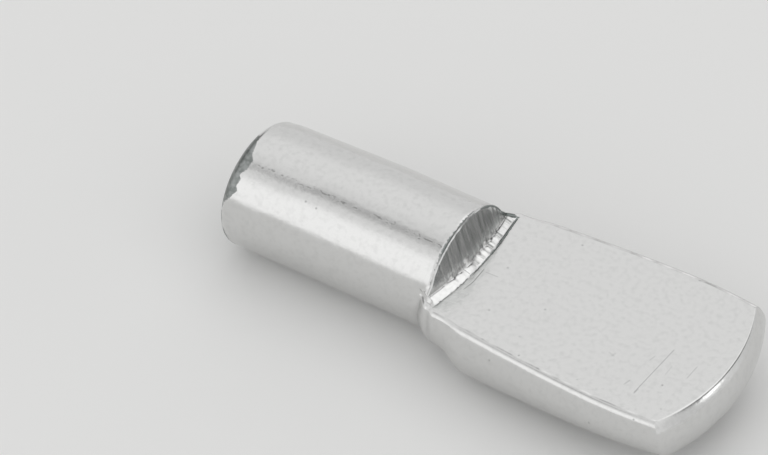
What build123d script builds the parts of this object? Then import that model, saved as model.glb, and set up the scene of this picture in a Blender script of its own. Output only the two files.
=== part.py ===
from build123d import *
import math
import os

# A spoon shaped shelf support pin, cold-formed in one piece from plated steel wire. The round
# shank goes into a hole in the cabinet's side, and the shelf rests on the pad's flat face.
# X runs along the shank's axis towards the pad, and Z points up out of the pad's flat face.
# The origin is on the axis where the neck starts, in the plane of the cabinet's side.
# Sizes are in millimetres, and angles in degrees.

# Shank
shank_diameter = 5.0
shank_length = 8.33           # from the cabinet's side to the middle of the free end

# Free end of the shank, sheared from the wire
end_slant = 2.7               # lean of the sheared face
end_slant_turn = 38.0         # where the shank is shortest, turned from +Y towards +Z
end_rim_face = 0.76           # how far the rounded rim reaches in across the face
end_rim_wall = 0.48           # how far it reaches along the wall
end_flare = 8.0               # the rim runs out on the wall at this slight angle
draw_length = 5.4             # stretch over which the shear drew the wall in, on one side
draw_depth = 0.18             # how far it is drawn in at the free end
draw_shift = 0.08             # how far the drawn stretch stands off the axis

# Flat face that carries the shelf
face_height = 0.63            # above the shank's axis
pad_length = 11.4             # from the cabinet's side to the middle of the face's tip
root_width = 6.40             # across the sharp corners of the face, where the neck ends
pad_width = 7.22              # the same, at the widest
tip_width = 6.98              # the same, at the tip's corners
widest_at = 8.3               # from the cabinet's side
spread_power = 1.5            # how quickly the face's edges bend towards the widest place
edge_round = 0.19             # rounded long edges of the face
edge_crease = 10.0            # the face meets its rounded edges at this slight angle

# Thickness and rounded sides of the pad
root_thickness = 2.96
tip_thickness = 2.15
root_belly = 0.25             # how far the rounded side stands out past the face's edge
tip_belly = 0.19
root_drop = 1.03              # from the face down to the side's widest line
tip_drop = 0.78
under_tuck = 1.70             # how far the side curves in from there to the flat underside
pad_pitch = 1.7               # from one section of the pad to the next

# Tip of the pad, curved across and slightly bulged from top to bottom
tip_radius = 7.5
tip_bulge = 0.36
tip_bulge_drop = 0.85         # from the face down to the line that stands out furthest
tip_edge_round = 0.10
tip_under_tuck = 0.90         # how far the tip curves in below that line
tip_under_depth = 0.16        # how far its curve would run past the underside

# Neck, where the upset metal swells out of the shank
neck_length = 2.4             # from the cabinet's side to the full section of the pad
neck_start = -0.15            # where its first section stands, still inside the shank
neck_sunk = 0.12              # how far that section lies below the shank's surface
neck_belly = 0.11             # how far the neck's sides stand out past its upper edges
neck_pitch = 0.26             # from one section of the neck to the next
collar_at = 0.75              # the first swelling
collar_swell = 0.42           # past the shank on each side, at the height of the face
collar_flat = 0.45            # half the width that is left flat on the underside
collar_hang = 0.03            # how far it hangs below the shank
crease_at = 1.15              # the slight waist between the collar and the pad
crease_swell = 0.60
crease_flat = 0.13
crease_hang = -0.05

# Step between shank and face, cut by the forming punch
shoulder_height = 1.88        # top of the swollen shoulders beside the step, over the axis
step_foot = 1.25              # from the cabinet's side to the foot of the step
step_swell = 0.03             # how far the wire has swollen from the cabinet's side to there
step_lean = 8.0               # the wall leans back from upright
step_radius = 14.0            # the wall is bowed towards the pad
step_shift = 0.25             # the bow's middle stands off the axis towards +Y
step_toe = 0.30               # reach of the low toe at the foot of the wall
step_toe_slope = 20.0
step_toe_round = 0.45

shank_radius = shank_diameter / 2


def side_outline(reach, belly, drop, depth, tuck, rounding):
    """Half an outline, drawn from the middle above the face to the middle of the underside.

    The face's sharp corner would be at reach. The side is rounded there, swells by belly
    down to drop below the face, and then tucks in to the underside at depth. Above the face
    the outline climbs gently to the middle, for the face's plane to cut.
    """
    radius = (drop ** 2 + belly ** 2) / (2 * belly)
    middle = (reach + belly - radius, face_height - drop)
    slope = math.radians(edge_crease)
    rise = drop - rounding * math.cos(slope)
    across = math.sqrt((radius - rounding) ** 2 - rise ** 2)
    turn = math.degrees(math.atan2(rise, across))
    tucked, underside = reach + belly - tuck, face_height - depth
    with BuildLine() as outline:
        corner = CenterArc(
            (middle[0] + across, middle[1] + rise), rounding, 90 - edge_crease, turn + edge_crease - 90
        )
        top = corner @ 0
        Line((0, top.Y + top.X * math.tan(slope)), top)
        CenterArc(middle, radius, turn, -turn)
        EllipticalCenterArc((tucked, middle[1]), tuck, depth - drop, start_angle=0, arc_size=-90)
        Line((tucked, underside), (0, underside))
    return outline.line


def section(x, half_width, belly, drop, thickness, tuck):
    """A closed section across the neck or the pad, which the face's plane has yet to cut."""
    half = side_outline(half_width, belly, drop, thickness, tuck, edge_round)
    with BuildSketch(Plane.YZ.offset(x)) as sketch:
        with BuildLine():
            add(half)
            mirror(half, about=Plane.YZ)
        make_face()
    return sketch.sketch.face()


def through(section_at, start, end, pitch):
    """A smooth solid through evenly spaced sections from start to end."""
    spans = math.ceil((end - start) / pitch)
    return loft([section_at(start + (end - start) * count / spans) for count in range(spans + 1)])


def joined(sizes_at, start, end, pitch):
    """A smooth stretch of the neck or the pad, from the sizes of its sections."""
    return through(lambda x: section(x, *sizes_at(x)), start, end, pitch)


def tip_depth():
    """How far the middle of the pad's tip stands ahead of its two corners."""
    return tip_radius - math.sqrt(tip_radius ** 2 - (tip_width / 2) ** 2)


def face_width(x):
    """Width of the face at x: it spreads from the neck, then draws in a little to the tip."""
    if x < widest_at:
        away = (widest_at - x) / (widest_at - neck_length)
        return pad_width - (pad_width - root_width) * away ** spread_power
    away = (x - widest_at) / (pad_length - tip_depth() - widest_at)
    return pad_width - (pad_width - tip_width) * away ** 2


def pad_sizes(x):
    """Sizes of the pad's section at x, which change evenly from the neck to the tip."""
    share = (x - neck_length) / (pad_length - neck_length)
    belly, drop, thickness = (
        root + (tip - root) * share
        for root, tip in ((root_belly, tip_belly), (root_drop, tip_drop), (root_thickness, tip_thickness))
    )
    return face_width(x) / 2, belly, drop, thickness, under_tuck


def round_sizes(swell, flat, hang):
    """Sizes of a section that is the shank's own round, swollen to the sides and downwards."""
    half_width = math.sqrt(shank_radius ** 2 - face_height ** 2) + swell
    tuck = half_width + neck_belly - flat
    return half_width, neck_belly, face_height, face_height + shank_radius + hang, tuck


def eased(before, after, share):
    """Sizes between two others, which leave the one and reach the other gently."""
    gentle = share * share * (3 - 2 * share)
    return [start + (end - start) * gentle for start, end in zip(before, after)]


def neck_sizes(x):
    """Sizes of the neck's section at x: out of the shank to the collar, the crease and the pad."""
    collar = round_sizes(collar_swell, collar_flat, collar_hang)
    crease = round_sizes(crease_swell, crease_flat, crease_hang)
    if x < collar_at:
        sunk = round_sizes(-neck_sunk, neck_sunk, -neck_sunk)
        return eased(sunk, collar, (x - neck_start) / (collar_at - neck_start))
    if x < crease_at:
        return eased(collar, crease, (x - collar_at) / (crease_at - collar_at))
    return eased(crease, pad_sizes(x), (x - crease_at) / (neck_length - crease_at))


def tip_cutter():
    """What is taken off ahead of the pad's tip, so that it is left curved and bulged."""
    depth = tip_thickness + tip_under_depth
    half = side_outline(tip_radius, tip_bulge, tip_bulge_drop, depth, tip_under_tuck, tip_edge_round)
    with BuildSketch(Plane.XZ) as profile:
        with BuildLine():
            add(half)
            Line(half @ 1, half @ 0)
        make_face()
    barrel = Pos(pad_length - tip_radius, 0, 0) * revolve(profile.sketch, Axis.Z)
    ahead = Box(2 * tip_radius, 2 * pad_width, 2 * pad_width, align=(Align.MIN, Align.CENTER, Align.CENTER))
    return Pos(pad_length - tip_depth() - tip_bulge, 0, 0) * ahead - barrel


def pad():
    """Neck and pad in one, with the curved tip and the flat face cut."""
    neck = joined(neck_sizes, neck_start, neck_length, neck_pitch)
    blade = joined(pad_sizes, neck_length, pad_length + 2 * tip_bulge, pad_pitch)
    above = Box(4 * pad_length, 2 * pad_width, 2 * pad_width, align=(Align.CENTER, Align.CENTER, Align.MIN))
    return neck + (blade - tip_cutter()) - Pos(0, 0, face_height) * above


def wire():
    """The round wire, longer than the shank, that swells a little from the cabinet's side on."""
    with BuildSketch(Plane.XZ) as profile:
        with BuildLine():
            Polyline(
                (-shank_length - shank_radius, 0),
                (-shank_length - shank_radius, shank_radius),
                (0, shank_radius),
                (step_foot, shank_radius + step_swell),
                (neck_length, shank_radius + step_swell),
                (neck_length, 0),
                close=True,
            )
        make_face()
    return revolve(profile.sketch, Axis.X)


def shoulder(x):
    """A section of the swollen shoulders: half an ellipse that reaches the neck's rounded edges."""
    half_width = neck_sizes(x)[0] - edge_round
    reach = half_width / math.sqrt(1 - (face_height / shoulder_height) ** 2)
    with BuildSketch(Plane.YZ.offset(x)) as sketch:
        with BuildLine():
            arc = EllipticalCenterArc((0, 0), reach, shoulder_height, start_angle=0, arc_size=180)
            Line(arc @ 1, arc @ 0)
        make_face()
    return sketch.sketch.face()


def shoulders():
    """What the punch pushed out beside the step, between the round wire and the neck's edges."""
    return through(shoulder, neck_start, step_foot + edge_round, neck_pitch)


def drawn_radius():
    """Radius of the drawn wire at its free end."""
    return shank_radius + draw_shift - draw_depth


def end_place(slant):
    """Where the sheared face's middle is, with Z pointing into the wire at a slant."""
    turn, lean = math.radians(end_slant_turn), math.radians(slant)
    across = Vector(0, math.cos(turn), math.sin(turn))
    middle = Vector(-shank_length, 0, 0) - across * draw_shift
    into = Vector(math.cos(lean), 0, 0) - across * math.sin(lean)
    return Plane(middle, z_dir=into).location


def drawn_in():
    """The long cone, off the axis, that the shear has drawn the wire's wall in to."""
    growth = draw_depth / draw_length
    start, length = drawn_radius() - growth * end_rim_wall, end_rim_wall + shank_length + neck_length
    cone = Cone(start, start + growth * length, length, align=(Align.CENTER, Align.CENTER, Align.MIN))
    return end_place(0) * Pos(0, 0, -end_rim_wall) * cone


def end_form():
    """A solid with the free end's slanted face and rounded rim, wider than the wire behind."""
    length = shank_length + neck_length
    face_radius = drawn_radius() - end_rim_face
    outer = (drawn_radius() + length * math.tan(math.radians(end_flare)), end_rim_wall + length)
    with BuildSketch(Plane.XZ) as profile:
        with BuildLine():
            face = Line((0, 0), (face_radius, 0))
            rim = EllipticalCenterArc(
                (face_radius, end_rim_wall), end_rim_face, end_rim_wall, start_angle=-90, arc_size=90
            )
            Polyline(rim @ 1, outer, (0, outer[1]), face @ 0)
        make_face()
    return end_place(end_slant) * revolve(profile.sketch, Axis.Z)


def step_form():
    """A round solid whose bowed, leaning edge is the step, with a low toe at the step's foot.

    Below the shank's axis it stops at the collar, which is deeper than the wire there.
    """
    toe_slope, lean = (math.tan(math.radians(angle)) for angle in (step_toe_slope, step_lean))
    wall_foot = (step_radius - step_toe, face_height + step_toe * toe_slope)
    wall_top = (wall_foot[0] - shank_diameter * lean, wall_foot[1] + shank_diameter)
    stub = step_radius - step_foot + collar_at
    with BuildSketch(Plane.XZ) as profile:
        with BuildLine():
            Polyline(
                (0, wall_top[1]),
                wall_top,
                wall_foot,
                (step_radius + face_height / toe_slope, 0),
                (stub, 0),
                (stub, -shank_diameter),
                (0, -shank_diameter),
                close=True,
            )
        make_face()
        fillet(profile.vertices().sort_by_distance((*wall_foot, 0))[0], step_toe_round)
    return Pos(step_foot - step_radius, step_shift, 0) * revolve(profile.sketch, Axis.Z)


def shelf_pin():
    """The whole pin as one solid: the shank, from its sheared end to the step, and the pad."""
    rod = wire() & drawn_in() & end_form()
    shank = (rod + shoulders()) & step_form()
    return shank + pad()


os.makedirs("parts", exist_ok=True)
export_step(shelf_pin(), "parts/shelf_pin.step")
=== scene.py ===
"""A spoon shaped shelf support pin, cold-formed in one piece from bright plated steel wire.

The pin's skin is one dense mesh of rings and columns over the CAD form, with the marks of its
making: the sheared free end, the punched step with its burr and its foot, and the formed edges.
It lies on a pale floor, in a plain light tent. Lengths are in mm up to the mesh and the nodes.
"""
import logging
import math
from dataclasses import dataclass, field
from enum import Enum

import bmesh
import bpy
import numpy as np
from mathutils import Matrix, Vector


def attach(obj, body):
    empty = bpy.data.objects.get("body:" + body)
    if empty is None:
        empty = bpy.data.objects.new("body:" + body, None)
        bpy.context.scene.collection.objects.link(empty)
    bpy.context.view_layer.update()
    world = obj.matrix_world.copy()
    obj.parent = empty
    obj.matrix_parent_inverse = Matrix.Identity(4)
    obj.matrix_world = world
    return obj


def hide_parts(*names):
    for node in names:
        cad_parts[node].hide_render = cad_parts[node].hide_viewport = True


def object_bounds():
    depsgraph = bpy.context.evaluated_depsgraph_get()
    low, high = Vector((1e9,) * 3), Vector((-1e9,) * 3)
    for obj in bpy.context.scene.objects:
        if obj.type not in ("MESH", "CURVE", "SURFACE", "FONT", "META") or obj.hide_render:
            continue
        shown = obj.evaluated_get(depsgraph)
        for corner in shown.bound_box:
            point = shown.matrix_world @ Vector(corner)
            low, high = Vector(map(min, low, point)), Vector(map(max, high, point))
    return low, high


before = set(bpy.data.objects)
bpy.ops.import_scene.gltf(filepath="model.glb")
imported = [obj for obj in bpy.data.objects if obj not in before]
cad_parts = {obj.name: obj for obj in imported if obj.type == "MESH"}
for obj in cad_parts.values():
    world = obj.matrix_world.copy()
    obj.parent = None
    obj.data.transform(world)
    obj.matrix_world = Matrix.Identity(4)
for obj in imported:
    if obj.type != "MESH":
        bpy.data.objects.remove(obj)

CAD_BOX = [list(corner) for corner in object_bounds()]
NODE = "shelf_pin"
BODY = "root"
PHOTO_WIDTH = 768
MM = 0.001
FACE_HEIGHT = 0.63
PUNCH_LEAN = 0.15  # sideways drift of the punch's lines for each mm of height
SETTLE_ROUNDS = 8  # rounds until two surfaces' meeting line stops moving
RIPPLE_KNOTS = 512
RIPPLE_START = 200.0
WELD_MM = 0.00002
SHARP_ANGLE = math.radians(26.0)

Pair = tuple[float, float]
Triple = tuple[float, float, float]
Section = tuple[float, float, float, float]
Array = np.ndarray
Socket = bpy.types.NodeSocket

log = logging.getLogger("shelf_pin")


def linear(hex_code: str) -> tuple[float, float, float, float]:
    """Turns an sRGB hex colour to the linear colour that the nodes take.

    Args:
        hex_code: six hex digits after a hash, such as "#D6D5D4".

    Returns:
        Red, green, blue and an alpha of 1.
    """
    parts = [int(hex_code[i:i + 2], 16) / 255 for i in (1, 3, 5)]
    return (*(c / 12.92 if c <= 0.04045 else ((c + 0.055) / 1.055) ** 2.4 for c in parts), 1.0)


@dataclass(frozen=True)
class Grain:
    """Noise on the metal: size in mm, detail, share of the finer grains, height in mm."""

    size: float
    detail: float
    coarse: float = 0.5
    height: float = 0.0


@dataclass(frozen=True)
class Graph:
    """A node tree, with a method for each kind of node that the finishes share."""

    tree: bpy.types.NodeTree

    @classmethod
    def of(cls, owner: bpy.types.Material | bpy.types.World) -> "Graph":
        """The owner's own node tree, turned on and cleared."""
        owner.use_nodes = True
        owner.node_tree.nodes.clear()
        return cls(owner.node_tree)

    def add(self, kind: str, links: dict | None = None, **settings) -> bpy.types.Node:
        """Adds one node with its settings and what feeds it.

        Args:
            kind: the node's type, after "ShaderNode".
            links: input name or number to a socket that feeds it, or to a plain value.
            settings: properties of the node itself.

        Returns:
            The new node.
        """
        node = self.tree.nodes.new("ShaderNode" + kind)
        for name, value in settings.items():
            setattr(node, name, value)
        for key, value in (links or {}).items():
            if isinstance(value, Socket):
                self.tree.links.new(value, node.inputs[key])
            else:
                node.inputs[key].default_value = value
        return node

    def number(self, operation: str, *values: Socket | float, **settings) -> Socket:
        """Works out one number from others."""
        return self.add("Math", dict(enumerate(values)), operation=operation, **settings).outputs[0]

    def vector(self, operation: str, *values: Socket | Triple) -> Socket:
        """Works out one vector from others, or the one number that they give."""
        node = self.add("VectorMath", dict(enumerate(values)), operation=operation)
        return node.outputs["Value" if operation in ("DOT_PRODUCT", "DISTANCE") else "Vector"]

    def span(
        self, value: Socket, low: float, high: float, to_low: Socket | float = 0.0, to_high: float = 1.0,
        eased: bool = False,
    ) -> Socket:
        """Stretches a number from one span to another, and holds it there."""
        links = dict(enumerate((value, low, high, to_low, to_high)))
        kind = "SMOOTHSTEP" if eased else "LINEAR"
        return self.add("MapRange", links, interpolation_type=kind).outputs["Result"]

    def mix(self, share: Socket, under: Socket | str, over: Socket | str) -> Socket:
        """Lays a share of one colour over another. Plain colours are hex codes."""
        under, over = (linear(colour) if isinstance(colour, str) else colour for colour in (under, over))
        return self.add("Mix", {"Factor": share, 6: under, 7: over}, data_type="RGBA").outputs[2]

    def noise(self, place: Socket, grain: Grain) -> Socket:
        """Adds one of the metal's grains."""
        size = 1 / (grain.size * MM)
        links = {"Vector": place, "Scale": size, "Detail": grain.detail, "Roughness": grain.coarse}
        return self.add("TexNoise", links).outputs["Fac"]


def metres(*sizes: float) -> tuple[float, ...]:
    """Sizes in mm, turned to metres."""
    return tuple(size * MM for size in sizes)


def placed(name: str, data: bpy.types.Mesh | bpy.types.Camera) -> bpy.types.Object:
    """Adds an object to the scene."""
    thing = bpy.data.objects.new(name, data)
    bpy.context.scene.collection.objects.link(thing)
    return thing


def smooth(values: Array, start: float = 0.0, length: float = 1.0) -> Array:
    """Eases from 0 at a start to 1 a length past it."""
    share = np.clip((values - start) / length, 0.0, 1.0)
    return share * share * (3.0 - 2.0 * share)


def quads(here: Array, beside: Array) -> list[list[int]]:
    """Faces between rows of points' numbers and the numbers beside them."""
    here = here[:, :beside.shape[1]]
    return np.stack([here[:-1], beside[:-1], beside[1:], here[1:]], axis=-1).reshape(-1, 4).tolist()


def looked_up(table: tuple[Pair, ...], values: Array) -> Array:
    """Reads a table of pairs at some values, straight between its rows."""
    return np.interp(values, *zip(*table))


class Mark(Enum):
    """The marks' uneven ripples: seed, distance from peak to peak in mm, level it ripples about."""

    STREAK = (11, 0.34, 0.0)
    FINE_STREAK = (12, 0.13, 0.0)
    TOOTH = (13, 0.26, 0.0)
    TOOTH_HEIGHT = (14, 0.40, 0.75)
    GROOVE = (21, 0.50, 0.75)
    BROW = (22, 0.90, 0.70)
    TEAR = (31, 0.50, 0.0)
    FINE_TEAR = (32, 0.16, 0.0)

    def at(self, places: Array) -> Array:
        """The ripple at places along its line, in mm, up to 1 at its highest."""
        seed, pitch, level = self.value
        knots = np.random.default_rng(seed).uniform(-1.0, 1.0, RIPPLE_KNOTS)
        steps = places * 2.0 / pitch + RIPPLE_START
        low = np.floor(steps).astype(int) % (RIPPLE_KNOTS - 1)
        wave = knots[low] + (knots[low + 1] - knots[low]) * smooth(steps - np.floor(steps))
        return level + (1 - level) * wave


class Run(Enum):
    """The stretches of a section's outline, from the middle of the face down to the underside."""

    FACE = "face"
    CORNER = "corner"
    SIDE = "side"
    TUCK = "tuck"
    UNDER = "under"


@dataclass(frozen=True)
class Outline:
    """Half an outline in mm. Its sizes may be arrays, one value for each place along the pin."""

    reach: Array
    belly: Array
    drop: Array
    depth: Array
    tuck: Array
    rounding: float
    crease: float = math.radians(10.0)
    pressed_flat: float = 0.4

    def point(self, run: Run, share: Array) -> tuple[Array, Array]:
        """Place of a point a share of the way along one stretch.

        Args:
            run: the stretch.
            share: 0 where the stretch starts and 1 where it ends. On the face and the
                underside it is 0 in the middle.

        Returns:
            How far out the point is, and its height.
        """
        radius = (self.drop ** 2 + self.belly ** 2) / (2 * self.belly)
        middle, height = self.reach + self.belly - radius, FACE_HEIGHT - self.drop
        rise = self.drop - self.rounding * math.cos(self.crease)
        across = np.sqrt((radius - self.rounding) ** 2 - rise ** 2)
        turn = np.arctan2(rise, across)
        if run is Run.FACE:
            corner = middle + across + self.rounding * math.sin(self.crease)
            return share * corner, FACE_HEIGHT + 0 * corner
        if run is Run.CORNER:
            start = math.pi / 2 - self.crease
            angle = start + (turn - start) * share
            out, up = (
                wave(angle) + (wave(start) + (wave(turn) - wave(start)) * share - wave(angle)) * self.pressed_flat
                for wave in (np.cos, np.sin)
            )
            return middle + across + self.rounding * out, height + rise + self.rounding * up
        if run is Run.SIDE:
            angle = turn * (1 - share)
            return middle + radius * np.cos(angle), height + radius * np.sin(angle)
        tucked = self.reach + self.belly - self.tuck
        if run is Run.TUCK:
            angle = share * math.pi / 2
            return tucked + self.tuck * np.cos(angle), height - (self.depth - self.drop) * np.sin(angle)
        return share * tucked, FACE_HEIGHT - self.depth + 0 * tucked

    def dense(self, count: int) -> Array:
        """The outline as close points, count to a stretch, for one place along the pin."""
        shares = np.linspace(0.0, 1.0, count)
        runs = [self.point(run, shares[::-1] if run is Run.UNDER else shares) for run in Run]
        return np.concatenate([np.stack(np.broadcast_arrays(*run), axis=1) for run in runs])


@dataclass
class PinForm:
    """The pin's form in mm, as the CAD has it: X along the shank to the pad, Z out of the face.

    A section of the pad or the tip is its belly, the belly's drop below the face, its depth and
    its tuck. The neck's sunk start, collar and crease are each a swell past the shank, a flat
    beneath and a hang below it.
    """

    shank_radius: float = 2.5
    shank_length: float = 8.33
    end_slant: float = math.radians(2.7)
    end_turn: float = math.radians(38.0)
    end_rim: Pair = (0.76, 0.48)
    end_flare: float = math.radians(8.0)
    end_draw: Triple = (5.4, 0.18, 0.08)
    pad_length: float = 11.4
    root_width: float = 6.40
    pad_width: float = 7.22
    tip_width: float = 6.98
    widest_at: float = 8.3
    spread_power: float = 1.5
    edge_round: float = 0.19
    pad_root: Section = (0.25, 1.03, 2.96, 1.70)
    pad_tip: Section = (0.19, 0.78, 2.15, 1.70)
    tip_radius: float = 7.5
    tip_barrel: Section = (0.36, 0.85, 2.31, 0.90)
    tip_edge_round: float = 0.10
    neck_length: float = 2.4
    neck_start: float = -0.15
    sunk: Triple = (-0.12, 0.12, -0.12)
    neck_belly: float = 0.11
    collar_at: float = 0.75
    collar_delay: float = 0.3
    collar: Triple = (0.42, 0.45, 0.03)
    crease_at: float = 1.15
    crease: Triple = (0.60, 0.13, -0.05)
    shoulder_height: float = 1.88
    step_foot: float = 1.25
    step_swell: float = 0.03
    step_lean: float = math.radians(8.0)
    step_radius: float = 14.0
    step_shift: float = 0.25
    toe: Triple = (0.30, math.radians(20.0), 0.09)
    barrel_steps: int = 200
    polar_steps: int = 1441
    polar_detail: int = 300
    neck_steps: int = 73
    profile_steps: tuple[int, int, int] = (8, 40, 60)

    def __post_init__(self) -> None:
        """Works out the step's profile, the tip's barrel and the neck's polar table."""
        tip_depth = self.tip_radius - math.sqrt(self.tip_radius ** 2 - (self.tip_width / 2) ** 2)
        self.tip_corner = self.pad_length - tip_depth
        self.wall_profile = self.punched_profile()
        self.wall_lengths = np.concatenate([[0.0], np.cumsum(np.hypot(*np.diff(self.wall_profile, axis=0).T))])
        barrel = Outline(self.tip_radius, *self.tip_barrel, self.tip_edge_round)
        self.barrel = barrel.dense(self.barrel_steps)[self.barrel_steps:-self.barrel_steps]
        self.polar = np.linspace(-math.pi / 2, math.pi / 2, self.polar_steps)
        self.neck_places = np.linspace(self.neck_start, self.collar_at, self.neck_steps)
        self.neck_table = np.array([self.polar_radius(self.outline(np.float64(x))) for x in self.neck_places])

    def polar_radius(self, outline: Outline) -> Array:
        """Distance from the shank's axis to an outline in each direction of the polar fan."""
        across, up = outline.dense(self.polar_detail)[::-1].T
        return np.interp(self.polar, np.arctan2(up, across), np.hypot(across, up))

    def face_width(self, x: Array) -> Array:
        """Width of the face across its sharp corners at x."""
        before = np.clip((self.widest_at - x) / (self.widest_at - self.neck_length), 0.0, None)
        past = np.clip((x - self.widest_at) / (self.tip_corner - self.widest_at), 0.0, None)
        root = (self.pad_width - self.root_width) * before ** self.spread_power
        return self.pad_width - root - (self.pad_width - self.tip_width) * past ** 2

    def round_sizes(self, swell: float, flat: float, hang: float) -> Array:
        """Sizes of a section that is the shank's own round, swollen to the sides and downwards."""
        width, depth = math.sqrt(self.shank_radius ** 2 - FACE_HEIGHT ** 2) + swell, self.shank_radius + hang
        sizes = width, self.neck_belly, FACE_HEIGHT, FACE_HEIGHT + depth, width + self.neck_belly - flat
        return np.array(sizes)[:, None]

    def outline(self, x: Array) -> Outline:
        """The neck's or the pad's outline at each place x.

        Args:
            x: places along the pin, in mm.

        Returns:
            The outline, whose sizes have x's shape.
        """
        flat = np.atleast_1d(x).ravel()
        share = (flat - self.neck_length) / (self.pad_length - self.neck_length)
        pad = [root + (tip - root) * share for root, tip in zip(self.pad_root, self.pad_tip)]
        pad = np.stack([self.face_width(flat) / 2, *pad])
        sunk, collar, crease = (self.round_sizes(*sizes) for sizes in (self.sunk, self.collar, self.crease))
        places = self.neck_start, self.collar_at, self.crease_at, self.neck_length
        sizes = sunk
        for start, end, before, after in zip(places, places[1:], (sunk, collar, crease), (collar, crease, pad)):
            eased = before + (after - before) * smooth(flat, start, end - start)
            sizes = np.where(flat > start, eased, sizes)
        return Outline(*(row.reshape(np.shape(x)) for row in sizes), self.edge_round)

    def neck_radius(self, x: Array, angle: float, late: float) -> Array:
        """Distance from the shank's axis to the neck's surface before the collar.

        Args:
            x: places along the pin.
            angle: the direction from the axis.
            late: the share of the collar's delay in that direction.

        Returns:
            One distance for each place.
        """
        delayed = self.collar_at - (self.collar_at - x) * (1 + self.collar_delay * late)
        row = np.interp(np.where(x < self.collar_at, delayed, x), self.neck_places, np.arange(self.neck_steps))
        low = np.clip(row.astype(int), 0, self.neck_steps - 2)
        near, far = (
            np.array([np.interp(angle, self.polar, self.neck_table[k + step]) for k in low]) for step in (0, 1)
        )
        return near + (far - near) * (row - low)

    def wire_radius(self, x: Array) -> Array:
        """Radius of the wire, which swells a little from the cabinet's side to the step."""
        return self.shank_radius + self.step_swell * np.clip(x / self.step_foot, 0.0, 1.0)

    def shoulder(self, x: Array) -> Array:
        """Half width, at the face's height, of the shoulders that the punch pushed out."""
        return self.outline(x).reach - self.edge_round

    def junction(self, x: Array) -> Array:
        """How far out the round wire, or its shoulder, comes down to the face's height."""
        return np.maximum(np.sqrt(self.wire_radius(x) ** 2 - FACE_HEIGHT ** 2), self.shoulder(x))

    def shoulder_reach(self, x: Array) -> Array:
        """Half width of the shoulders' ellipse at the shank's axis."""
        return self.shoulder(x) / math.sqrt(1 - (FACE_HEIGHT / self.shoulder_height) ** 2)

    def shoulder_radius(self, x: Array, angle: float) -> Array:
        """Distance from the shank's axis to the shoulders' surface, in a direction."""
        return 1 / np.hypot(np.cos(angle) / self.shoulder_reach(x), np.sin(angle) / self.shoulder_height)

    def top_height(self, x: Array, y: Array) -> Array:
        """Height of the wire or its shoulder at a place, and of the face where both lie lower."""
        shoulder = self.shoulder_height ** 2 * (1 - (y / self.shoulder_reach(x)) ** 2)
        return np.sqrt(np.maximum(np.maximum(self.wire_radius(x) ** 2 - y ** 2, shoulder), FACE_HEIGHT ** 2))

    def drawn_radius(self, x: Array, angle: Array) -> Array:
        """Distance from the axis to the wall that the shear drew in, in a direction."""
        length, depth, shift = self.end_draw
        radius = self.shank_radius + shift - depth + depth / length * (x + self.shank_length)
        offset = -shift * np.cos(angle - self.end_turn)
        return offset + np.sqrt(radius ** 2 - shift ** 2 + offset ** 2)

    def punched_profile(self) -> Array:
        """The step's profile from its foot up: distance from the bow's axis, and height."""
        (run, slope, rounding), lean = self.toe, self.step_lean
        corner = np.array([self.step_radius - run, FACE_HEIGHT + run * math.tan(slope)])
        down, up = np.array([math.cos(slope), -math.sin(slope)]), np.array([-math.sin(lean), math.cos(lean)])
        half = (math.pi / 2 - slope - lean) / 2
        tangent = rounding * math.tan(half)
        middle = corner + (down + up) / np.linalg.norm(down + up) * rounding / math.cos(half)
        toe, fillet, wall = (np.linspace(0.0, 1.0, count)[:, None] for count in self.profile_steps)
        turns = -math.pi / 2 - slope - 2 * half * fillet
        fillet = middle + rounding * np.hstack([np.cos(turns), np.sin(turns)])
        foot, start = corner + down * run / math.cos(slope), corner + up * tangent
        toe = foot + (corner + down * tangent - foot) * toe[:-1]
        wall = start + (corner + up * 3 * self.shank_radius - start) * wall[1:]
        return np.concatenate([toe, fillet, wall])

    def wall_x(self, y: Array, reach: Array) -> Array:
        """Place along the pin of a point of the step, from its reach from the bow's axis."""
        return self.step_foot - self.step_radius + np.sqrt(reach ** 2 - (y - self.step_shift) ** 2)

    def crest(self, y: Array) -> tuple[Array, Array]:
        """Where the step's wall meets the wire's surface.

        Args:
            y: places across the pin.

        Returns:
            The crest's place along the pin and its height.
        """
        x = np.full_like(y, self.step_foot)
        for _ in range(SETTLE_ROUNDS):
            height = self.top_height(x, y)
            reach = np.interp(height, self.wall_profile[:, 1], self.wall_profile[:, 0])
            x = self.wall_x(y, reach)
        return x, height

    def tip_x(self, y: Array, z: Array) -> Array:
        """Place along the pin of the tip's surface."""
        reach = np.interp(-z, -self.barrel[:, 1], self.barrel[:, 0])
        return self.pad_length - self.tip_radius + np.sqrt(reach ** 2 - y ** 2)


@dataclass
class FaceColumn:
    """One column of the face on its way from the neck over the step to the tip, in mm."""

    side: int
    crest: float
    foot: float
    fade: float
    x: Array
    across: Array
    z: Array


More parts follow.
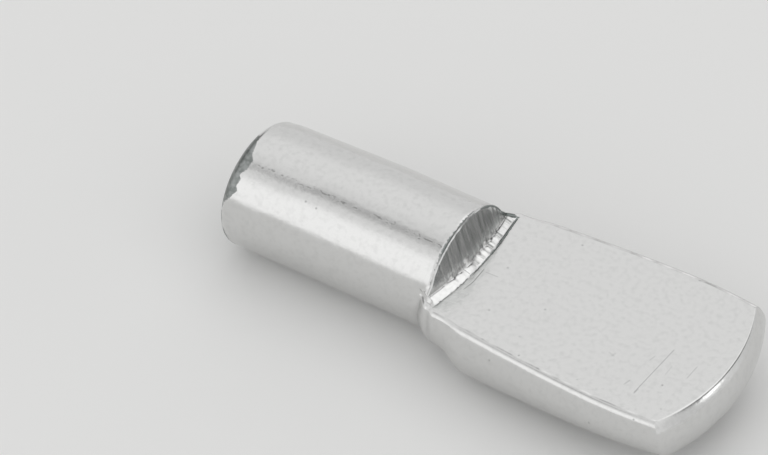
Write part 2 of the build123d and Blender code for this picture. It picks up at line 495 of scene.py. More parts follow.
@dataclass
class PinSkin:
    """The pin's skin: rings along the pin, joined by columns, with a cap at each end.

    A groove is given as its middle's distance from an edge, its half width and its depth. The
    burr's and the shear's tables give how far torn metal reaches at places along an edge, and
    the crease's table how far painted shade reaches along the groove before the crest.
    """

    form: PinForm = field(default_factory=PinForm)
    arc_columns: int = 54
    ledge_columns: int = 7
    flank_columns: tuple[int, int, int] = (9, 8, 15)
    rim_rings: int = 26
    shank_rings: int = 36
    neck_rings: int = 18
    wall_rings: int = 30
    pad_rings: int = 86
    shank_bunch: float = 1.25
    wall_bunch: float = 1.2
    edge_keep: int = 6
    fade_keep: int = 10
    end_shares: Pair = (0.6, 0.25)
    neck_ends: Pair = (-0.3, 0.19)
    crest_places: tuple[float, ...] = (0.15, 0.125, 0.10, 0.075, 0.05)
    foot_places: tuple[float, ...] = (0.018, 0.035, 0.055, 0.08, 0.12)
    side_step: Pair = (0.72, 1.32)
    junction_gap: float = 0.03
    collar_blend: float = 0.16
    fan_length: float = 3.0
    tip_ledge: float = 0.11
    brow: float = 0.12
    brow_groove: Triple = (0.035, 0.035, 0.045)
    brow_from: Pair = (1.44, 1.5)
    foot_groove: Triple = (0.045, 0.045, 0.050)
    foot_depths: Triple = (0.5, 0.7, 2.6)
    crest_groove: Triple = (0.100, 0.075, 0.045)
    crest_bevel: float = 0.035
    bevel_share: float = 0.4
    streak_depth: float = 0.012
    streak_shares: Pair = (0.6, 0.4)
    streak_from: Pair = (0.3, 0.2)
    tooth_depth: float = 0.085
    tooth_height: float = 0.48
    tooth_from: Pair = (-1.7, 0.5)
    tooth_power: float = 0.7
    tooth_bright: float = 3.0
    toe_height: float = 0.11
    burr: tuple[Pair, ...] = ((0.3, -0.15), (0.9, 0.03), (1.9, 0.09), (2.5, 0.15))
    # reach of painted shade along the groove before the crest, at places across the pin
    crease: tuple[Pair, ...] = ((-2.4, -0.02), (-1.9, 0.0), (-1.3, 0.055), (-0.6, 0.025), (0.3, 0.01), (1.0, -0.02))
    # painted shade in the groove along the step's foot: its reach, and where across the pin it starts to grow and
    # over what length
    groove_shade: Triple = (0.04, -1.5, 3.0)
    tears: Pair = (0.05, 0.035)
    sheared: tuple[Pair, ...] = (
        (-180, 0.18), (-170, 0.22), (-160, 0.29), (-150, 0.38), (-140, 0.49), (-130, 0.30), (-90, 0.12),
        (80, 0.12), (90, 0.20), (96, 0.42), (104, 0.50), (113, 0.62), (119, 0.72), (129, 0.67), (134, 0.55),
        (141, 0.60), (150, 0.59), (157, 0.42), (163, 0.24), (170, 0.16), (180, 0.18),
    )

    def __post_init__(self) -> None:
        """Works out which of a column's rings are before the step, on its wall and on the pad."""
        neck = self.neck_rings + len(self.crest_places) + 1
        past = neck + self.wall_rings
        self.neck, self.wall, self.pad = slice(0, neck), slice(neck, past), slice(past, None)

    def columns(self) -> list[tuple[Run, int, float]]:
        """Every column of a ring, from the middle of the face round to the middle again.

        Returns:
            For each column its stretch, its side (1 towards +Y, -1 away) and its share of the
            stretch, which is a face column's count from the middle.
        """
        half = self.arc_columns + self.ledge_columns
        down = zip((Run.CORNER, Run.SIDE, Run.TUCK), self.flank_columns)
        flank = [(run, (k + 1) / count) for run, count in down for k in range(count)]
        ring = [(Run.FACE, 1 if k >= 0 else -1, abs(k)) for k in range(-half, half + 1)]
        ring += [(run, 1, share) for run, share in flank]
        ring += [(Run.UNDER, 1 if k > 0 else -1, abs(k) / half) for k in range(half - 1, -half, -1)]
        ring += [(run, -1, share) for run, share in flank[::-1]]
        return ring

    def near_place(self, count: int, x: Array, corner: Array) -> Array:
        """How far out a face column lies beside and before the step."""
        wire = self.form.wire_radius(x)
        junction = self.form.junction(x)
        if count <= self.arc_columns:
            share = count / self.arc_columns
            ledge = (junction - np.sqrt(wire ** 2 - FACE_HEIGHT ** 2)) * share ** self.edge_keep
            return wire * np.sin(np.arccos(FACE_HEIGHT / wire) * share) + ledge
        return junction + (corner - junction) * (count - self.arc_columns) / self.ledge_columns

    def face_place(self, count: int, x: Array, corner: Array) -> Array:
        """How far out a face column lies.

        Args:
            count: the column's number from the middle.
            x: places along the pin.
            corner: half width of the flat face at those places.

        Returns:
            Its distance from the pin's middle. Columns bunch to the step's ends at the neck.
            On the pad they are even, with the last ones close together at the brow.
        """
        inner = min(count, self.arc_columns) / self.arc_columns
        outer = max(count - self.arc_columns, 0) / self.ledge_columns
        even = (corner - self.brow) * inner + self.brow * outer
        near = self.near_place(count, x, corner)
        return near + (even - near) * smooth(x, self.form.step_foot, self.fan_length)

    def ring_places(self, crest: float, foot: float, tip: float) -> tuple[Array, Array, Array]:
        """Where one column's rings stand.

        Args:
            crest, foot, tip: the step's crest, its foot and the pad's tip on this column.

        Returns:
            Places before the crest, shares of the wall from 1 at its top, and places on the pad.
        """
        first, last = self.neck_ends
        neck = np.linspace(first, crest - last, self.neck_rings + 1)[1:]
        close = crest - np.array([*self.crest_places, self.crest_bevel])
        wall = np.linspace(1.0, 0.0, self.wall_rings) ** self.wall_bunch
        start = foot + np.array(self.foot_places)
        brow = tip - self.brow * np.linspace(1.0, 0.0, self.ledge_columns + 1)
        pad = np.linspace(start[-1], brow[0], self.pad_rings + 1)[1:-1]
        return np.concatenate([neck, close]), wall, np.concatenate([start, pad, brow])

    def groove(self, away: Array, cut: Triple) -> Array:
        """Depth of a fine groove at a distance from its edge."""
        middle, half, depth = cut
        return depth * np.clip(1 - np.abs(away - middle) / half, 0.0, 1.0)

    def corner_at(self, x: Array) -> Array:
        """Half width of the flat face at x."""
        return self.form.outline(x).point(Run.FACE, 1.0)[0]

    def face_column(self, side: int, count: int) -> tuple[Array, ...]:
        """One column of the face, from the neck's start over the step to the tip.

        Args:
            side: 1 towards +Y, -1 away.
            count: the column's number from the middle.

        Returns:
            Places along, across and up, heights up the step's wall, and depths in torn metal and in painted groove
            shade.
        """
        form = self.form
        inner, outer = min(count, self.arc_columns), max(count - self.arc_columns, 0)
        crest_x = np.array([form.step_foot])
        for _ in range(SETTLE_ROUNDS):
            y = side * self.near_place(inner, crest_x, crest_x)
            crest_x, crest_z = form.crest(y)
        easing = float(smooth(outer / self.ledge_columns))
        crest = float(crest_x[0]) * (1 - easing) + self.side_step[0] * easing
        foot = float(form.wall_x(y, np.array([form.step_radius]))[0])
        foot = max(foot, crest + self.junction_gap) * (1 - easing) + self.side_step[1] * easing
        tip = np.array([form.pad_length])
        for _ in range(SETTLE_ROUNDS):
            tip = form.tip_x(self.face_place(count, tip, self.corner_at(tip)), np.array([FACE_HEIGHT]))
        neck_x, wall, pad_x = self.ring_places(crest, foot, float(tip[0]))

        # The step's wall, up to a fine bevel under its crest
        reach, height = form.wall_profile.T
        top = float(np.interp(crest_z[0], height, form.wall_lengths))
        along = wall * (top - min(self.crest_bevel, self.bevel_share * top))
        wall_x, wall_z = crest + (foot - crest) * (1 - wall), np.full_like(wall, FACE_HEIGHT)
        if count < self.arc_columns:
            wall_x = form.wall_x(y, np.interp(along, form.wall_lengths, reach))
            wall_z = np.interp(along, form.wall_lengths, height)
        x = np.concatenate([neck_x, wall_x, pad_x])
        across = self.face_place(count, x, self.corner_at(x))
        z, torn_and_shade = np.full_like(x, FACE_HEIGHT), np.full_like(x, -1.0)
        if outer == 0:
            z[self.neck], z[self.wall] = form.top_height(neck_x, across[self.neck]), wall_z
        fade = 1 - (inner / self.arc_columns) ** self.fade_keep if outer == 0 else 0.0
        column = FaceColumn(side, crest, foot, fade, x, across, z)
        if count < self.arc_columns:
            across[self.wall] = abs(y[0])
            torn_and_shade = self.torn_column(column, float(y[0]), (1 - wall) * top)
        heights = np.maximum(z - FACE_HEIGHT, 0.0)
        heights[self.neck] = 0.0
        self.cut_grooves(column)
        return x, side * across, z, heights, torn_and_shade

    def torn_column(self, column: FaceColumn, y: float, fallen: Array) -> Array:
        """How deep in torn metal, and in the painted shade along the step's grooves, a column's points lie.

        Args:
            column: the column.
            y: where it meets the crest, across the pin.
            fallen: how far down the step's wall its points there are.

        Returns:
            Distances from the border of the torn metal and the painted groove shade, above 0 inside it.
        """
        before, after = column.crest - column.x[self.neck], column.x[self.pad] - column.foot
        burr, crease = looked_up(self.burr, y), looked_up(self.crease, y)
        # painted shade in the groove along the step's foot, growing towards +Y
        reach, *span = self.groove_shade
        groove_shade = reach * smooth(column.side * column.across[self.pad], *span)
        # the burr's torn metal, and painted shade along the groove before the crest
        near = np.maximum(burr - before, crease - np.abs(before - self.crest_groove[0]))
        return np.concatenate([near, burr - fallen, groove_shade - np.abs(after - self.foot_groove[0])])

    def cut_grooves(self, column: FaceColumn) -> None:
        """Cuts the fine grooves before the crest, along the foot and inside the pad's brow."""
        neck, pad = self.neck, self.pad
        rough = Mark.GROOVE.at(column.side * column.across) * column.fade
        dent = self.groove(column.crest - column.x[neck], self.crest_groove) * rough[neck]
        scale = 1 - dent / np.hypot(column.across[neck], column.z[neck])
        column.across[neck] *= scale
        column.z[neck] *= scale
        x, across = column.x[pad], column.across[pad]
        least, more, width = self.foot_depths
        foot = self.groove(x - column.foot, self.foot_groove) * (least + more * smooth(column.side * across / width))
        brow = self.groove(np.maximum(self.corner_at(x) - across, 0.0), self.brow_groove)
        column.z[pad] -= foot * rough[pad] + brow * smooth(x, *self.brow_from) * Mark.BROW.at(x + across)

    def flank_x(self, run: Run, share: float) -> Array:
        """Places along the pin of a column beside or under the pin, from the neck to the tip."""
        tip = np.array([self.form.pad_length])
        for _ in range(SETTLE_ROUNDS):
            tip = self.form.tip_x(*self.form.outline(tip).point(run, share))
        crest, foot = self.side_step
        neck_x, wall, pad_x = self.ring_places(crest, foot, float(tip[0]))
        return np.concatenate([neck_x, crest + (foot - crest) * (1 - wall), pad_x])

    def body_points(self) -> tuple[Array, Array, Array]:
        """Every ring from the neck's start to the tip.

        Returns:
            Points as rings by columns by 3, heights up the step's wall, and depths in torn metal and in painted
            groove shade.
        """
        form = self.form
        columns = []
        collar = form.outline(np.float64(form.collar_at))
        for run, side, share in self.columns():
            if run is Run.FACE:
                x, y, z, height, torn_and_shade = self.face_column(side, int(share))
                corner = collar.point(Run.FACE, 1.0)[0]
                guide = self.near_place(int(share), np.float64(form.collar_at), corner), FACE_HEIGHT
            else:
                x, height, torn_and_shade = self.flank_x(run, share), 0.0, -1.0
                y, z = form.outline(x).point(run, share)
                y, guide = side * y, collar.point(run, share)
            if run is not Run.FACE or share > self.arc_columns:
                # Before the collar, the neck swells out of the wire in a fan about its axis
                angle = np.arctan2(guide[1], guide[0])
                late = {Run.SIDE: 1 - share, Run.TUCK: 0.0, Run.UNDER: 0.0}.get(run, 1.0)
                wire, neck = form.wire_radius(x), form.neck_radius(x, angle, late)
                if run is Run.FACE:
                    neck = np.maximum(neck, form.shoulder_radius(x, angle))
                gap = np.clip(1 - np.abs(wire - neck) / self.collar_blend, 0.0, 1.0)
                radius = np.maximum(wire, neck) + self.collar_blend * gap ** 2 / 4
                near = x < form.collar_at
                y = np.where(near, side * radius * np.cos(angle), y)
                z = np.where(near, radius * np.sin(angle), z)
            columns.append(np.stack(np.broadcast_arrays(x, y, z, height, torn_and_shade), axis=1))
        body = np.stack(columns, axis=1)
        return body[..., :3], body[..., 3], body[..., 4]

    def shank_points(self, first: Array) -> Array:
        """Every ring of the shank, from the sheared face's edge to the neck's start.

        Args:
            first: the neck's first ring, which the shank's last ring leads to.

        Returns:
            Points as rings by columns by 3.
        """
        form = self.form
        (_, depth, shift), (face, wall), lean = form.end_draw, form.end_rim, form.end_slant
        angle, start = np.arctan2(first[:, 2], first[:, 1]), float(first[:, 0].min())
        away = -np.array([math.cos(form.end_turn), math.sin(form.end_turn)])
        into = np.array([math.cos(lean), *(away * math.sin(lean))])
        middle = np.array([-form.shank_length, *(away * shift)])
        spoke = np.stack([0 * angle, np.cos(angle), np.sin(angle)], axis=1)
        spoke = spoke - (spoke @ into)[:, None] * into
        spoke /= np.linalg.norm(spoke, axis=1)[:, None]
        rings = []
        for turn in np.linspace(0.0, math.pi / 2, self.rim_rings):
            reach = form.shank_radius + shift - depth - face * (1 - math.sin(turn))
            rings.append(middle + into * wall * (1 - math.cos(turn)) + spoke * reach)
        edge, rim = rings[-1][:, 0], np.hypot(*rings[-1][:, 1:].T)
        for share in (np.linspace(0.0, 1.0, self.shank_rings) ** self.shank_bunch)[1:]:
            x = edge + (start - edge) * share
            flare = rim + (x - edge) * math.tan(form.end_flare)
            radius = np.minimum(np.minimum(form.wire_radius(x), form.drawn_radius(x, angle)), flare)
            rings.append(np.stack([x, radius * np.cos(angle), radius * np.sin(angle)], axis=1))
        return np.stack(rings)

    def mark_step(self, points: Array, heights: Array) -> tuple[Array, Array]:
        """Adds the punch's streaks to the step's wall, and the teeth at its foot.

        Args:
            points: rings by columns by 3.
            heights: each point's height up the step's wall.

        Returns:
            The moved points, and the heights, which are 0 on the bright teeth.
        """
        marked = points.copy()
        lines = points[..., 1] + PUNCH_LEAN * points[..., 2]
        wide, fine = self.streak_shares
        streaks = wide * Mark.STREAK.at(lines) + fine * Mark.FINE_STREAK.at(lines)
        marked[..., 0] += self.streak_depth * streaks * smooth(heights, *self.streak_from)
        tall = self.tooth_height * Mark.TOOTH_HEIGHT.at(lines)
        teeth = np.maximum(Mark.TOOTH.at(lines), 0.0) ** self.tooth_power
        teeth *= np.clip(heights / self.toe_height, 0.0, 1.0) * np.clip(1 - heights / tall, 0.0, 1.0)
        teeth *= smooth(points[..., 1], *self.tooth_from)
        marked[..., 0] += self.tooth_depth * teeth
        return marked, heights * (1 - smooth(teeth * self.tooth_bright))

    def torn_end(self, points: Array) -> Array:
        """How deep in the shear's torn metal each point of the shank lies, in mm."""
        x, y, z = np.moveaxis(points, -1, 0)
        angles, (wide, fine) = np.arctan2(z, y), self.tears
        around = angles * self.form.shank_radius
        reach = looked_up(self.sheared, np.degrees(angles)) + wide * Mark.TEAR.at(around)
        reach += fine * Mark.FINE_TEAR.at(around)
        return np.clip(reach - (x + self.form.shank_length), -1.0, 1.0)

    def build(self) -> bpy.types.Object:
        """Builds the skin's mesh.

        Returns:
            The pin's object, with its attributes for the finish.
        """
        body, heights, tears = self.body_points()
        shank = self.shank_points(body[0])[:-1]
        body, heights = self.mark_step(body, heights)
        rings = np.concatenate([shank, body])
        # the torn metal's depths, with the painted shade in the step's grooves
        torn_and_shade = np.concatenate([self.torn_end(shank), tears])
        count, total = rings.shape[1], rings.size // 3
        grid = np.arange(total).reshape(-1, count)
        faces = quads(grid, np.roll(grid, -1, axis=1))
        centre = rings[0].mean(axis=0)
        end = [centre + (rings[0] - centre) * share for share in self.end_shares]
        last = grid[0]
        for _ in end:
            pair = np.array([last, np.arange(total, total + count)])
            faces += quads(np.roll(pair, -1, axis=1), pair)
            last, total = pair[1], total + count
        faces += [[after, it, total] for it, after in zip(last.tolist(), np.roll(last, -1).tolist())]
        cap, cap_faces = self.tip_cap(rings[-1], grid[-1], total + 1)
        vertices = np.concatenate([rings.reshape(-1, 3), *end, centre[None], cap])
        end_size = count * len(end) + 1
        mesh = bpy.data.meshes.new(NODE + "_skin")
        mesh.from_pydata(np.clip(vertices * MM, *CAD_BOX).tolist(), [], faces + cap_faces)
        mesh.validate()
        for name, values in (
            ("wall", [np.zeros(shank.size // 3), heights.ravel(), np.zeros(end_size + len(cap))]),
            ("torn_and_shade", [torn_and_shade.ravel(), np.ones(end_size), -np.ones(len(cap))]),
        ):
            layer = mesh.attributes.new(name, "FLOAT", "POINT")
            layer.data.foreach_set("value", np.concatenate(values).astype(np.float32))

        # Welds the points that meet at the step's ends, and turns every face outward
        weld = bmesh.new()
        weld.from_mesh(mesh)
        bmesh.ops.remove_doubles(weld, verts=weld.verts, dist=WELD_MM * MM)
        bmesh.ops.recalc_face_normals(weld, faces=weld.faces)
        weld.to_mesh(mesh)
        weld.free()
        mesh.shade_smooth()
        mesh.set_sharp_from_angle(angle=SHARP_ANGLE)
        return placed("plated_pin", mesh)

    def tip_cap(self, ring: Array, names: Array, first: int) -> tuple[Array, list[list[int]]]:
        """Closes the tip with its barrel surface.

        Args:
            ring: the last ring's points.
            names: the numbers of those points in the mesh.
            first: the number of the cap's first new point.

        Returns:
            The new points, and the cap's faces.
        """
        form = self.form
        half = self.arc_columns + self.ledge_columns
        flank, wide = sum(self.flank_columns), 2 * half + 1
        top, right = ring[:wide], ring[wide:wide + flank]
        share = np.abs(np.arange(-half, half + 1) / half)
        levels = [FACE_HEIGHT, FACE_HEIGHT - self.tip_ledge, float(right[-1, 2])]
        own = np.interp(np.arange(1, flank) / flank, [0.0, self.flank_columns[0] / flank, 1.0], levels)
        number = np.zeros((flank + 1, wide), dtype=int)
        number[0] = names[:wide]
        number[-1] = [names[-flank], *names[wide + flank:-flank][::-1], names[wide + flank - 1]]
        number[1:-1, -1] = names[wide:wide + flank - 1]
        number[1:-1, 0] = names[::-1][:flank - 1]
        number[1:-1, 1:-1] = first + np.arange((flank - 1) * (wide - 2)).reshape(flank - 1, wide - 2)
        points = []
        for level, (_, reach, height) in zip(own, right):
            z = level + (height - level) * share ** self.edge_keep
            y = top[:, 1] * reach / top[-1, 1]
            points.append(np.stack([form.tip_x(y, z), y, z], axis=1)[1:-1])
        return np.concatenate(points), quads(number, number[:, 1:])


@dataclass(frozen=True)
class Scratch:
    """One fine scratch, from one place to another at one height, in mm."""

    start: Pair
    end: Pair
    width: float
    depth: float
    height: float = FACE_HEIGHT


@dataclass(frozen=True)
class BrightPlatedSteel:
    """Low carbon steel wire, cold-formed and barrel plated with bright zinc.

    The plating is a close, slightly milky mirror with fine specks. Sheared or punched metal is
    torn, darker and duller. A span gives two levels of a pattern, and what they become if not
    0 and 1.
    """

    plate: str = "#D9D9D8"
    dimmed: str = "#D2D2D1"
    # also the colour of the painted dark reflection along the shank
    pit_and_dark_reflection: str = "#868886"
    punched: tuple[str, str] = ("#BEC0BF", "#EAEBEA")
    torn_and_shade: tuple[str, str] = ("#838785", "#9EA1A0")
    # darker colour of the painted shade in the step's grooves, also laid on the burr's torn metal
    groove_shade: str = "#8A8F8D"
    roughness: Triple = (0.17, 0.25, 0.40)  # of the plating, the punched and the torn metal

    # Long waves of the forming, knocks of the barrel and grain of the plating
    wave: Grain = Grain(3.5, 0.0, 0.6, 0.020)
    knock: Grain = Grain(0.22, 3.0, 0.6, 0.0050)
    plating: Grain = Grain(0.06, 2.0, 0.6, 0.0009)
    milky_span: Pair = (0.30, 0.52)
    mottled_span: Pair = (0.40, 0.60)

    # Pits, a few of the cells of a pattern having one, and all dark marks' depth
    pit_mm: float = 0.55
    pit_span: Section = (0.11, 0.03, 0.0, 0.55)
    pit_rarity: float = 0.72
    mark_depth_mm: float = 0.004

    # Lines and teeth that the punch left on the step, and how far the teeth reach across it
    streak: Grain = Grain(0.16, 2.0, 0.6, 0.004)
    streak_stretch: float = 0.06
    streak_span: Pair = (0.36, 0.64)
    tooth: Grain = Grain(0.13, 1.0)
    tooth_level_mm: float = 0.30
    teeth_from_mm: Pair = (-1.9, -1.3)
    teeth_by: Pair = (0.05, 1.10)
    punched_span: Pair = (-0.015, 0.03)
    dragged_span: Section = (0.44, 0.38, 0.0, 0.7)
    wall_from_mm: float = 0.01

    # Ragged border of the torn metal and of the painted groove shade; on the neck and the pad both take the darker
    # colour of the painted groove shade
    ragged: Grain = Grain(0.10, 2.0, 0.5, 0.16)
    torn_span: Pair = (0.065, 0.095)
    burr_and_groove_shade_from_mm: float = -1.0

    # Painted dark reflection: dark specks crowd along a line down the shank's near upper side
    dark_reflection_line_mm: Triple = (0.0, -1.299, 2.136)
    dark_reflection_reach_mm: Pair = (0.20, 0.02)
    dark_reflection_gain: float = 0.30
    speck: Grain = Grain(0.075, 1.0)
    speck_stretch: Triple = (0.4, 1.0, 1.0)
    speck_span: Section = (0.78, 0.90, 0.0, 0.5)

    scratches: tuple[Scratch, ...] = tuple(Scratch(*row) for row in (
        ((9.18, -2.55), (9.27, -0.02), 0.030, 0.55), ((10.38, -0.96), (10.39, -0.3), 0.026, 0.40),
        ((9.2, -2.59), (9.22, -2.34), 0.034, 0.50), ((8.82, -0.89), (8.87, -0.63), 0.026, 0.40),
        ((7.4, -1.33), (7.65, -1.4), 0.024, 0.35), ((7.57, -1.46), (7.64, -1.24), 0.024, 0.35),
        ((1.43, -1.39), (1.51, -0.92), 0.034, 0.55), ((1.51, -0.92), (1.49, -0.16), 0.036, 0.60),
        ((1.63, -0.25), (2.12, -0.23), 0.026, 0.35), ((8.68, -2.4), (8.75, -2.12), 0.030, 0.45),
        ((9.65, -1.25), (9.63, -0.73), 0.024, 0.25), ((-7.37, -2.34), (-7.32, -2.34), 0.080, 0.95, -FACE_HEIGHT),
    ))

    def scratched(self, graph: Graph, place: Socket) -> Socket:
        """How much of a scratch each place lies in.

        Args:
            graph: the material's nodes.
            place: places on the pin, in metres.

        Returns:
            A socket from 0 on clean metal to a scratch's depth in its middle.
        """
        total: Socket | float = 0.0
        for scratch in self.scratches:
            start = metres(*scratch.start, scratch.height)
            run = metres(*(end - begin for begin, end in zip(scratch.start, scratch.end)), 0.0)
            offset = graph.vector("SUBTRACT", place, start)
            along = graph.vector("DOT_PRODUCT", offset, run)
            share = graph.number("MULTIPLY", along, 1 / (run[0] ** 2 + run[1] ** 2), use_clamp=True)
            away = graph.vector("DISTANCE", offset, graph.vector("MULTIPLY", share, run))
            mark = graph.span(away, scratch.width * MM, 0.0, 0.0, scratch.depth, eased=True)
            total = graph.number("MAXIMUM", mark, total)
        return total

    def punch_marks(self, graph: Graph, place: Socket, wall: Socket) -> tuple[Socket, Socket, Socket]:
        """Finds the punch's marks, whose lines lean as it dragged down the step's wall.

        Args:
            graph: the material's nodes.
            place: places on the pin, in metres.
            wall: heights up the step's wall, in mm.

        Returns:
            The streaks, how much of each place is punched metal, and how dark it is for the
            lines dragged across the step's bright foot.
        """
        axes = graph.add("SeparateXYZ", {0: place}).outputs
        line = graph.number("MULTIPLY_ADD", axes["Z"], PUNCH_LEAN, axes["Y"])
        drift = graph.number("MULTIPLY", axes["Z"], self.streak_stretch)
        across = graph.add("CombineXYZ", {0: line, 1: drift}).outputs[0]
        streak = graph.noise(across, self.streak)
        teeth = graph.span(axes["Y"], *metres(*self.teeth_from_mm), *self.teeth_by)
        tooth = graph.number("ADD", graph.noise(across, self.tooth), -0.5)
        level = graph.number("MULTIPLY_ADD", tooth, teeth, self.tooth_level_mm)
        punched = graph.span(graph.number("SUBTRACT", wall, level), *self.punched_span, eased=True)
        dragged = graph.span(streak, *self.dragged_span)
        on_wall = graph.number("GREATER_THAN", wall, self.wall_from_mm)
        return streak, punched, graph.number("MULTIPLY", graph.number("MULTIPLY", dragged, on_wall), teeth)

    def marks_and_dark_reflection(self, graph: Graph, place: Socket) -> Socket:
        """How dark each place is for its pits, scratches and specks, and for the painted dark reflection along the
        shank, from 0 to 1.
        """
        cells = graph.add("TexVoronoi", {"Vector": place, "Scale": 1 / (self.pit_mm * MM)}).outputs
        rare = graph.add("SeparateColor", {0: cells["Color"]}).outputs[0]
        rare = graph.number("GREATER_THAN", rare, self.pit_rarity)
        pits = graph.number("MULTIPLY", graph.span(cells["Distance"], *self.pit_span), rare)
        marks = graph.number("MAXIMUM", pits, self.scratched(graph, place))
        # painted dark reflection: more dark specks close to a line down the shank
        section = graph.vector("MULTIPLY", place, (0.0, 1.0, 1.0))
        off_dark_reflection = graph.vector("DISTANCE", section, metres(*self.dark_reflection_line_mm))
        dark_reflection = graph.span(off_dark_reflection, *metres(*self.dark_reflection_reach_mm), 0.0, self.dark_reflection_gain)
        specks = graph.noise(graph.vector("MULTIPLY", place, self.speck_stretch), self.speck)
        return graph.number("MAXIMUM", marks, graph.span(graph.number("ADD", specks, dark_reflection), *self.speck_span))

    def material(self) -> bpy.types.Material:
        """Builds the finish as nodes."""
        material = bpy.data.materials.new("bright_zinc_plated_steel")
        graph = Graph.of(material)
        place = graph.add("TexCoord").outputs["Object"]
        wall = graph.add("Attribute", attribute_name="wall").outputs["Fac"]
        inside = graph.add("Attribute", attribute_name="torn_and_shade").outputs["Fac"]
        grains = self.wave, self.knock, self.plating, self.ragged
        wave, knock, grain, ragged = (graph.noise(place, own) for own in grains)
        streak, punched, dragged = self.punch_marks(graph, place, wall)
        # the marks hold the painted dark reflection along the shank
        marks = graph.number("MAXIMUM", self.marks_and_dark_reflection(graph, place), dragged)
        torn_and_shade = graph.span(graph.number("MULTIPLY_ADD", ragged, self.ragged.height, inside), *self.torn_span)
        ahead = graph.add("SeparateXYZ", {0: place}).outputs["X"]
        ahead = graph.number("GREATER_THAN", ahead, self.burr_and_groove_shade_from_mm * MM)

        # From the milky plating, over its marks and the painted dark reflection, to punched and torn metal and the
        # painted shade in the step's grooves
        colour = graph.mix(graph.span(knock, *self.milky_span), self.dimmed, self.plate)
        streaky = graph.mix(graph.span(streak, *self.streak_span), *self.punched)
        mottled = graph.mix(graph.span(knock, *self.mottled_span), *self.torn_and_shade)
        burr_and_groove_shade = graph.number("MULTIPLY", ahead, torn_and_shade)
        for share, over in ((marks, self.pit_and_dark_reflection), (punched, streaky), (torn_and_shade, mottled), (burr_and_groove_shade, self.groove_shade)):
            colour = graph.mix(share, colour, over)
        rough, *others = self.roughness
        for share, over in zip((punched, torn_and_shade), others):
            rough = graph.span(share, 0.0, 1.0, rough, over)

        # Relief, from the long waves of forming down to the punch's streaks
        bump: dict[str, Socket] = {}
        for height, size in (
            (wave, self.wave.height), (knock, self.knock.height), (grain, self.plating.height),
            (marks, -self.mark_depth_mm), (graph.number("MULTIPLY", streak, punched), self.streak.height),
        ):
            relief = {"Height": height, "Distance": abs(size) * MM, **bump}
            bump = {"Normal": graph.add("Bump", relief, invert=size < 0).outputs["Normal"]}
        shader = graph.add("BsdfPrincipled", {"Base Color": colour, "Metallic": 1.0, "Roughness": rough, **bump})
        graph.add("OutputMaterial", {"Surface": shader.outputs["BSDF"]})
        return material


@dataclass(frozen=True)
class TentPatch:
    """A lighter or darker patch of the light tent's wall, seen from the pin."""

    towards: Triple
    inner_deg: float
    outer_deg: float
    light: float


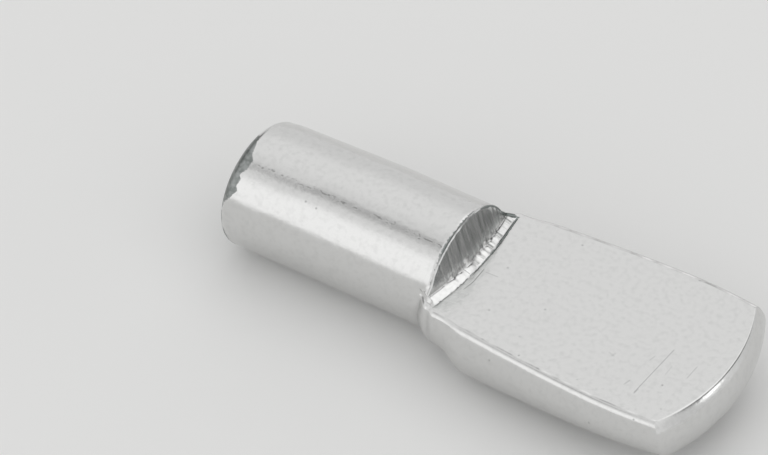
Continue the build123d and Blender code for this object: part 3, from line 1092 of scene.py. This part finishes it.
@dataclass
class Studio:
    """The plain light tent round the pin: its soft wall, the floor and the camera."""

    floor_colour: str = "#E8E8E7"
    floor_size_mm: float = 2400.0
    tent_light: float = 0.95
    patches: tuple[TentPatch, ...] = tuple(TentPatch(*row) for row in (
        ((-0.387, -0.86, 0.33), 14.0, 27.0, 0.25), ((-0.387, -0.35, 0.858), 1.0, 9.0, -0.42),
        ((-0.387, -0.30, 0.87), 8.0, 26.0, -0.08), ((0.775, 0.354, 0.53), 4.0, 15.0, -0.66),
        ((0.563, 0.606, 0.562), 4.0, 15.0, -0.62), ((0.33, 0.735, 0.593), 4.0, 15.0, -0.66),
        ((0.03, 0.60, 0.80), 9.0, 18.0, 0.28), ((0.32, 0.46, 0.83), 6.0, 14.0, 0.28),
        ((0.90, 0.30, 0.20), 10.0, 28.0, -0.22), ((0.43, 0.89, 0.10), 8.0, 28.0, -0.22),
        ((0.826, 0.446, 0.30), 4.0, 9.0, 1.30), ((-0.387, 0.91, 0.1), 3.0, 42.0, -0.15),
        ((-0.93, 0.28, 0.15), 15.0, 35.0, -0.70),
    ))
    turn: float = math.radians(32.56)
    elevation: float = math.radians(44.04)
    focal_px: float = 9310.0
    distance_mm: float = 330.2
    shift_mm: Pair = (3.208, -1.646)
    origin_mm: Triple = (1.0, 0.0, 0.0)
    sensor_mm: float = 36.0
    clip_m: Pair = (0.01, 10.0)

    def camera(self) -> None:
        """Places the camera where the photograph was taken from."""
        (c, s), (ce, se) = ((math.cos(angle), math.sin(angle)) for angle in (self.turn, self.elevation))
        axes = np.array([[c, s, 0.0], [-s * se, c * se, ce], [s * ce, -c * ce, se]])
        place = axes.T @ np.array([-self.shift_mm[0], -self.shift_mm[1], self.distance_mm]) + self.origin_mm
        data = bpy.data.cameras.new("photo_camera")
        data.sensor_width = self.sensor_mm
        data.lens = self.focal_px / PHOTO_WIDTH * self.sensor_mm
        data.clip_start, data.clip_end = self.clip_m
        matrix = np.eye(4)
        matrix[:3, :3], matrix[:3, 3] = axes.T, place * MM
        bpy.context.scene.camera = placed("photo_camera", data)
        bpy.context.scene.camera.matrix_world = Matrix(matrix.tolist())

    def floor(self, height: float) -> None:
        """Lays the pale floor under the pin's lowest point."""
        half = self.floor_size_mm * MM / 2
        corners = [(x * half, y * half, height) for x, y in ((-1, -1), (1, -1), (1, 1), (-1, 1))]
        mesh, material = bpy.data.meshes.new("floor"), bpy.data.materials.new("pale_card")
        mesh.from_pydata(corners, [], [(0, 1, 2, 3)])
        graph = Graph.of(material)
        diffuse = graph.add("BsdfDiffuse", {"Color": linear(self.floor_colour)})
        graph.add("OutputMaterial", {"Surface": diffuse.outputs[0]})
        mesh.materials.append(material)
        placed("floor", mesh)

    def tent(self) -> None:
        """Lights the scene with the tent's wall, as the world."""
        world = bpy.data.worlds.new("light_tent")
        bpy.context.scene.world = world
        graph = Graph.of(world)
        way = graph.add("TexCoord").outputs["Generated"]
        light: Socket | float = self.tent_light
        for patch in self.patches:
            length = math.hypot(*patch.towards)
            near = graph.vector("DOT_PRODUCT", way, tuple(part / length for part in patch.towards))
            outer, inner = (math.cos(math.radians(angle)) for angle in (patch.outer_deg, patch.inner_deg))
            light = graph.number("ADD", light, graph.span(near, outer, inner, 0.0, patch.light, eased=True))
        background = graph.add("Background", {"Color": (1.0, 1.0, 1.0, 1.0), "Strength": light})
        graph.add("OutputWorld", {"Surface": background.outputs[0]})


def main() -> None:
    """Builds the studio and the pin."""
    logging.basicConfig(level=logging.INFO, format="%(name)s %(message)s")
    bpy.context.scene.view_settings.view_transform = "Standard"
    studio = Studio()
    studio.camera()
    studio.floor(CAD_BOX[0][2])
    studio.tent()
    pin = PinSkin().build()
    pin.data.materials.append(BrightPlatedSteel().material())
    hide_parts(NODE)
    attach(pin, BODY)
    log.info("%s: %d faces", pin.name, len(pin.data.polygons))


if __name__ == "__main__":
    main()
